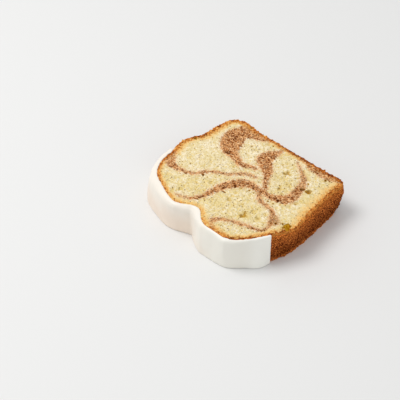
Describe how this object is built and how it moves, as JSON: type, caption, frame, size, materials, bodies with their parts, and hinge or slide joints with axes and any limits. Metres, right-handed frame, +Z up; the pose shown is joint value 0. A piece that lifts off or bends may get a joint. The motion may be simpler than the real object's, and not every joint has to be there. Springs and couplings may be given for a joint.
{
  "type": "iced cinnamon swirl loaf cake slice",
  "caption": "Thick slice of vanilla loaf cake marbled with cinnamon batter, browned granular crust, split dome coated with smooth white icing, lying on its cut face",
  "frame": {"origin": "middle of the slice's bounding box seen from above, on the cut face that it lies on", "axes": "+Z up through the slice's thickness, +Y towards the loaf's flat base crust, -Y towards the iced dome, +X across the loaf's width"},
  "size_m": [0.1, 0.0876, 0.021],
  "materials": {
    "loaf_cake": "matte crumb marbled with cinnamon brown, dark brown granular crust",
    "icing": "smooth satin white"
  },
  "bodies": {
    "root": {"loaf_cake": "loaf_cake", "icing": "icing"}
  },
  "joints": []
}
